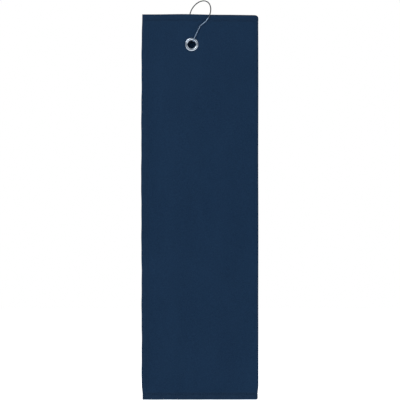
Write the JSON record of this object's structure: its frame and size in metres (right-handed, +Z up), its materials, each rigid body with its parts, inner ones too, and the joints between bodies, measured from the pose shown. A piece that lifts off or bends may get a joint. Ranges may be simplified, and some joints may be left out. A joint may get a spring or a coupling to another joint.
{
  "type": "golf towel",
  "caption": "Folded terry golf towel with hemmed ends, a metal eyelet near the top and a springy wire hook for a bag.",
  "frame": {"origin": "the hook's seat, under the crown of its ring, where the bag's ring or loop bears", "axes": "+Z up along the towel's length, -Y out of the towel's front flap, +X towards the front flap's fold"},
  "size_m": [0.151, 0.0141, 0.5189],
  "materials": {
    "cloth": "matte cut-pile terry",
    "thread": "matte",
    "nickel": "bright nickel plate",
    "wire": "dull drawn spring wire"
  },
  "bodies": {
    "hook": {"hook_wire": "wire"},
    "latch": {"latch_arm": "wire"},
    "towel": {"towel_cloth": "cloth", "top_hem_thread": "thread", "bottom_hem_thread": "thread", "front_edge_thread": "thread", "inner_edge_thread": "thread", "eyelet": "nickel", "eyelet_washer": "nickel"}
  },
  "joints": [
    {"name": "towel_swing", "type": "hinge", "parent": "hook", "child": "towel", "pos_m": [-0.01517, 0, -0.05624], "axis": [0, 1, 0], "range_deg": [-16, 52]},
    {"name": "latch_open", "type": "hinge", "parent": "hook", "child": "latch", "pos_m": [-0.00546, 0.00252, -0.00061], "axis": [0, -1, 0], "range_deg": [0, 18], "stiffness_Nm_per_rad": 0.1, "springref_deg": -5.73}
  ]
}
